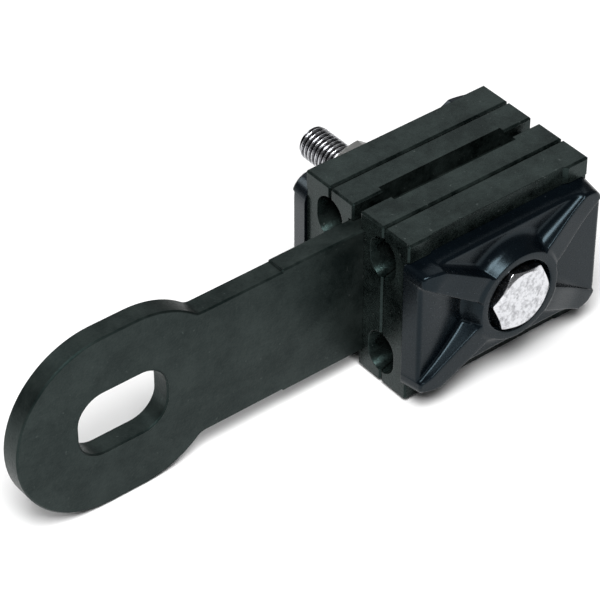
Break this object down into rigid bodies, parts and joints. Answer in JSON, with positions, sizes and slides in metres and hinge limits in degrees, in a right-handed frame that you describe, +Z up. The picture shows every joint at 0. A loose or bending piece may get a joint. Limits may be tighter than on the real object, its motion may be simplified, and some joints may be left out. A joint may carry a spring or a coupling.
{
  "type": "bundled conductor strain clamp",
  "caption": "Plastic strain clamp: a flat eye strap gripped between grooved jaws that a through bolt draws together on overhead line conductors.",
  "frame": {"origin": "centre of the anchor eye's hole, on the strap's middle plane", "axes": "+X along the strap from the eye to the clamp, +Y along the clamp bolt towards its free thread, +Z up across the strap"},
  "size_m": [0.1672, 0.0864, 0.053],
  "materials": {
    "strap_plastic": "matte",
    "jaw_plastic": "matte",
    "plate_plastic": "satin gloss",
    "stainless_bolt": "satin",
    "zinc_fastener": "dull"
  },
  "bodies": {
    "strap": {"eye_strap": "strap_plastic"},
    "inner_front": {"inner_jaw_front": "jaw_plastic"},
    "inner_rear": {"inner_jaw_rear": "jaw_plastic"},
    "front_set": {"outer_jaw_front": "jaw_plastic", "pressure_plate_front": "plate_plastic", "clamp_bolt": "stainless_bolt"},
    "rear_set": {"outer_jaw_rear": "jaw_plastic", "pressure_plate_rear": "plate_plastic", "flat_washer": "zinc_fastener", "spring_washer": "zinc_fastener"},
    "nut": {"clamp_nut": "zinc_fastener"}
  },
  "joints": [
    {"name": "front_slide", "type": "slide", "parent": "strap", "child": "front_set", "axis": [0, -1, 0], "range_m": [0, 0.0075]},
    {"name": "rear_slide", "type": "slide", "parent": "strap", "child": "rear_set", "axis": [0, 1, 0], "range_m": [0, 0.0075]},
    {"name": "inner_front_slide", "type": "slide", "parent": "strap", "child": "inner_front", "axis": [0, -1, 0], "range_m": [0, 0.0015]},
    {"name": "inner_rear_slide", "type": "slide", "parent": "strap", "child": "inner_rear", "axis": [0, 1, 0], "range_m": [0, 0.0015]},
    {"name": "nut_turn", "type": "hinge", "parent": "rear_set", "child": "nut", "pos_m": [0.105, 0.0347, 0], "axis": [0, 1, 0], "range_deg": [0, 3600]}
  ],
  "couplings": [
    {"joint": "rear_slide", "follows": "front_slide", "ratio": 1},
    {"joint": "inner_front_slide", "follows": "front_slide", "ratio": 0.2},
    {"joint": "inner_rear_slide", "follows": "front_slide", "ratio": 0.2},
    {"joint": "nut_turn", "follows": "front_slide", "rad_per_m": 8377.6}
  ]
}
